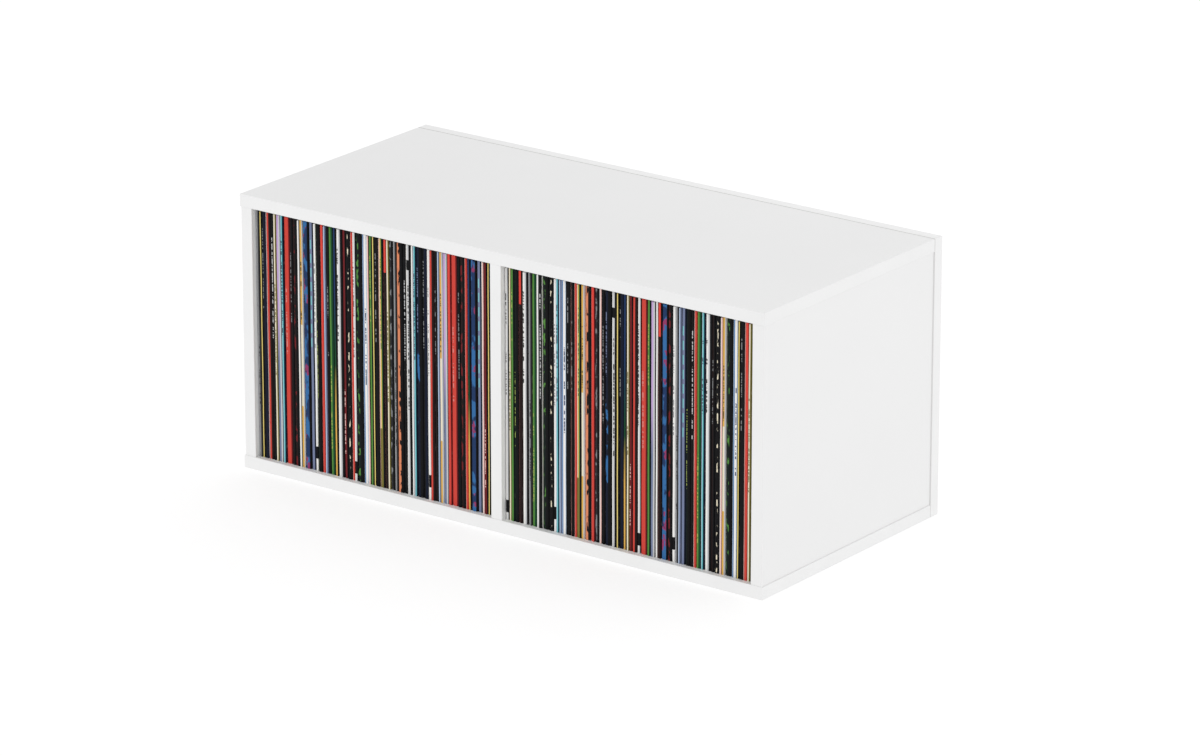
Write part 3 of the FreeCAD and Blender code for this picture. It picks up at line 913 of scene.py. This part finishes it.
def add_spine(piece, record, material):
    """Spine strip: rounded corners, folds drawn in at both ends, slightly uneven along its height."""
    outline = spine_outline(record)
    across = places_across(outline)
    height = record.top - record.bottom
    back = record.front + SPINE_WRAP
    heights = [height * step / SPINE_RINGS for step in range(1, SPINE_RINGS)]
    levels = [0.0, FOLD_ROUND, *heights, height - FOLD_ROUND, height]
    rings = []
    for level in levels:
        inset = FOLD_ROUND if level in (0.0, height) else 0.0
        dent = SPINE_DENT * math.sin(DENT_WAVE * level + DENT_SHIFT * record.left) ** 2
        ring = []
        for x, y in outline:
            x = min(max(x, record.left + inset), record.right - inset)
            y = min(y + inset + dent, back)
            ring.append((x, y, record.bottom + level))
        rings.append(ring)
    prints = [[(place, level / height) for place in across] for level in levels]
    piece.stack(rings, prints, [material] * (len(rings) - 1), rounded=True)


def upright_ring(left, right, bottom, top, y):
    """Rectangle with small rounded corners across the depth, counter-clockwise seen from the rear."""
    reach = min(FOLD_ROUND, FOLD_SHARE * (right - left))
    ring = []
    corners = ((right, bottom, 0.0), (left, bottom, 0.5), (left, top, 1.0), (right, top, 1.5))
    for x, z, turn in corners:
        centre_x = x - math.copysign(reach, x - (left + right) / 2)
        centre_z = z - math.copysign(reach, z - (bottom + top) / 2)
        for step in range(FOLD_STEPS + 1):
            angle = math.pi * (turn + 0.5 * step / FOLD_STEPS)
            ring.append((centre_x + reach * math.cos(angle), y, centre_z - reach * math.sin(angle)))
    return ring


def add_cover(piece, record, printed, raw):
    """Cover behind the spine strip, with card-thick walls round its open mouth at the rear."""
    front = record.front + SPINE_WRAP
    outside = (record.left, record.right, record.bottom, record.top)
    inside = (record.left + CARD, record.right - CARD, record.bottom + CARD, record.top - CARD)
    rings = [
        upright_ring(*outside, front),
        upright_ring(*outside, record.rear),
        upright_ring(*inside, record.rear),
        upright_ring(*inside, record.rear - MOUTH_DEPTH),
    ]
    depth = record.rear - record.front
    height = record.top - record.bottom
    prints = []
    for ring in rings:
        prints.append([((y - record.front) / depth, (z - record.bottom) / height) for x, y, z in ring])
    piece.stack(rings, prints, [printed, raw, raw])


def add_inner_sleeve(piece, record, centre, paper):
    """Paper sleeve whose edge shows in the mouth, a little bowed along its height."""
    near = record.rear - MOUTH_DEPTH
    far = record.rear - INNER_SLEEVE_BACK
    bottom = record.bottom + INNER_SLEEVE_SHORT
    height = record.top - record.bottom - 2 * INNER_SLEEVE_SHORT
    rings = []
    prints = []
    for step in range(INNER_SLEEVE_STEPS + 1):
        share = step / INNER_SLEEVE_STEPS
        bow = INNER_SLEEVE_BOW * math.sin(math.pi * share)
        left = centre + bow - INNER_SLEEVE / 2
        right = centre + bow + INNER_SLEEVE / 2
        z = bottom + height * share
        rings.append([(left, near, z), (right, near, z), (right, far - bow, z), (left, far - bow, z)])
        prints.append([(0.0, share), (0.0, share), (1.0, share), (1.0, share)])
    piece.stack(rings, prints, [paper] * INNER_SLEEVE_STEPS)


# What the frame's nodes become
def record_spans(node):
    """Left and right end of each record in a CAD node, from the overlapping widths of its faces."""
    mesh = frame["nodes"][node].data
    widths = []
    for polygon in mesh.polygons:
        xs = [mesh.vertices[index].co.x for index in polygon.vertices]
        widths.append((min(xs), max(xs)))
    spans = []
    for left, right in sorted(widths):
        if spans and left <= spans[-1][1]:
            spans[-1][1] = max(spans[-1][1], right)
        else:
            spans.append([left, right])
    return spans


def kind_of(thickness):
    """Kind of record that has this thickness."""
    return next(kind for kind, limit in KIND_LIMITS if thickness < limit)


def dress_records(nodes):
    """Replaces each handful by its spines and its covers, with designs dealt out in turn."""
    decks = {kind: cycle(designs) for kind, designs in DESIGNS.items()}
    designs = [design for kind in DESIGNS.values() for design in kind]
    spine_materials = {design.name: spine_print(design) for design in designs}
    cover_materials = {design.name: cover_print(design) for design in designs}
    raw = card_core()
    paper = sleeve_paper()
    setbacks = cycle(SETBACKS)
    shortfalls = cycle(SHORTFALLS)
    for node in nodes:
        low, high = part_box(node)
        spines = Piece(f"{node}_spines")
        covers = Piece(f"{node}_covers")
        for left, right in record_spans(node):
            design = next(decks[kind_of(right - left)])
            front = low.y + next(setbacks) * MM
            top = high.z - next(shortfalls) * MM
            record = Record(left, right, front, high.y, low.z, top, design.name)
            add_spine(spines, record, spine_materials[record.design])
            add_cover(covers, record, cover_materials[record.design], raw)
            add_inner_sleeve(covers, record, (left + right) / 2, paper)
        for piece in (spines, covers):
            made = piece.build(node)
            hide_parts(node)


def dress_cabinet():
    """Gives each carried-over CAD node the material of its slot; returns the record nodes."""
    finishes = {
        "white_faced_board": melamine(),
        "white_edging": edge_strip(),
        "zinc_plated_steel": zinc(),
        "beech": beech(),
        "white_cap_plastic": cap_plastic(),
    }
    records = []
    for part in frame["record"]["subparts"]:
        finish = finishes.get(part["material_slot"])
        if finish is None:
            records.append(part["node"])
            continue
        for slot in frame["nodes"][part["node"]].material_slots:
            slot.material = finish
    return records


# Studio
def seen_directly(tree):
    """1 for camera, mirror and see-through rays and 0 for the rays that carry light."""
    path = tree.nodes.new("ShaderNodeLightPath")
    total = path.outputs["Is Camera Ray"]
    for name in ("Is Glossy Ray", "Is Transmission Ray"):
        most = tree.nodes.new("ShaderNodeMath")
        most.operation = "MAXIMUM"
        tree.links.new(total, most.inputs[0])
        tree.links.new(path.outputs[name], most.inputs[1])
        total = most.outputs[0]
    return total


def make_world():
    """White to look at, and an even light from all round."""
    world = bpy.data.worlds.new("studio")
    bpy.context.scene.world = world
    world.use_nodes = True
    tree = world.node_tree
    background = tree.nodes["Background"]
    background.inputs["Color"].default_value = PURE_WHITE
    level = tree.nodes.new("ShaderNodeMapRange")
    level.inputs["To Min"].default_value = WORLD_LEVEL
    level.inputs["To Max"].default_value = 1.0
    tree.links.new(seen_directly(tree), level.inputs["Value"])
    tree.links.new(level.outputs[0], background.inputs["Strength"])


def floor_material():
    """Pale floor that keeps the shadow: partly lit, partly its own white where it is looked at."""
    shader = Shader("studio_floor", specular=0.0)
    shader.surface.inputs["Roughness"].default_value = 1.0
    seen = seen_directly(shader.tree)
    shader.put(shader.blend(seen, FLOOR_LIT, FLOOR_SEEN), shader.surface.inputs["Base Color"])
    shader.surface.inputs["Emission Color"].default_value = PURE_WHITE
    own_light = shader.ramp(seen, 0.0, 1.0, FLOOR_LIFT, FLOOR_GLOW)
    shader.put(own_light, shader.surface.inputs["Emission Strength"])
    return shader.material


def make_floor():
    """Wide round floor just under the cabinet."""
    mesh = bpy.data.meshes.new("studio_floor")
    turns = [2 * math.pi * side / FLOOR_SIDES for side in range(FLOOR_SIDES)]
    rim = [(FLOOR_RADIUS * math.cos(turn), FLOOR_RADIUS * math.sin(turn), -FLOOR_DROP) for turn in turns]
    mesh.from_pydata(rim, [], [range(FLOOR_SIDES)])
    mesh.materials.append(floor_material())
    floor = bpy.data.objects.new("studio_floor", mesh)
    bpy.context.scene.collection.objects.link(floor)


def direction(azimuth, elevation):
    """Unit vector away from the cabinet; azimuth 0 is the front and a quarter turn the right."""
    level = math.cos(elevation)
    return Vector((math.sin(azimuth) * level, -math.cos(azimuth) * level, math.sin(elevation)))


def make_lamp(lamp):
    """Lamp that faces the cabinet and that the camera doesn't see."""
    light = bpy.data.lights.new(lamp.name, "AREA")
    light.size = lamp.size
    light.energy = lamp.power
    holder = bpy.data.objects.new(lamp.name, light)
    away = direction(math.radians(lamp.azimuth), math.radians(lamp.elevation))
    holder.location = Vector((0.0, 0.0, AIM_HEIGHT)) + LAMP_DISTANCE * away
    holder.rotation_euler = away.to_track_quat("Z", "Y").to_euler()
    holder.visible_camera = False
    bpy.context.scene.collection.objects.link(holder)


def make_camera():
    """Camera at its distance from a point beside the cabinet's middle, level across."""
    right = Vector((math.cos(CAMERA_AZIMUTH), math.sin(CAMERA_AZIMUTH), 0.0))
    back = direction(CAMERA_AZIMUTH, CAMERA_ELEVATION)
    up = back.cross(right)
    lens = bpy.data.cameras.new("camera")
    lens.sensor_fit = "HORIZONTAL"
    lens.sensor_width = SENSOR_WIDTH
    lens.lens = FOCAL_PIXELS * SENSOR_WIDTH / IMAGE_WIDTH
    camera = bpy.data.objects.new("camera", lens)
    offset = AIM_RIGHT * right + AIM_UP * up + CAMERA_DISTANCE * back
    place = Matrix((right, up, back)).transposed().to_4x4()
    place.translation = offset + Vector((0.0, 0.0, AIM_HEIGHT))
    camera.matrix_world = place
    bpy.context.scene.collection.objects.link(camera)
    bpy.context.scene.camera = camera


bpy.context.scene.view_settings.view_transform = "Standard"
make_camera()
make_world()
make_floor()
for soft_lamp in LAMPS:
    make_lamp(soft_lamp)
dress_records(dress_cabinet())
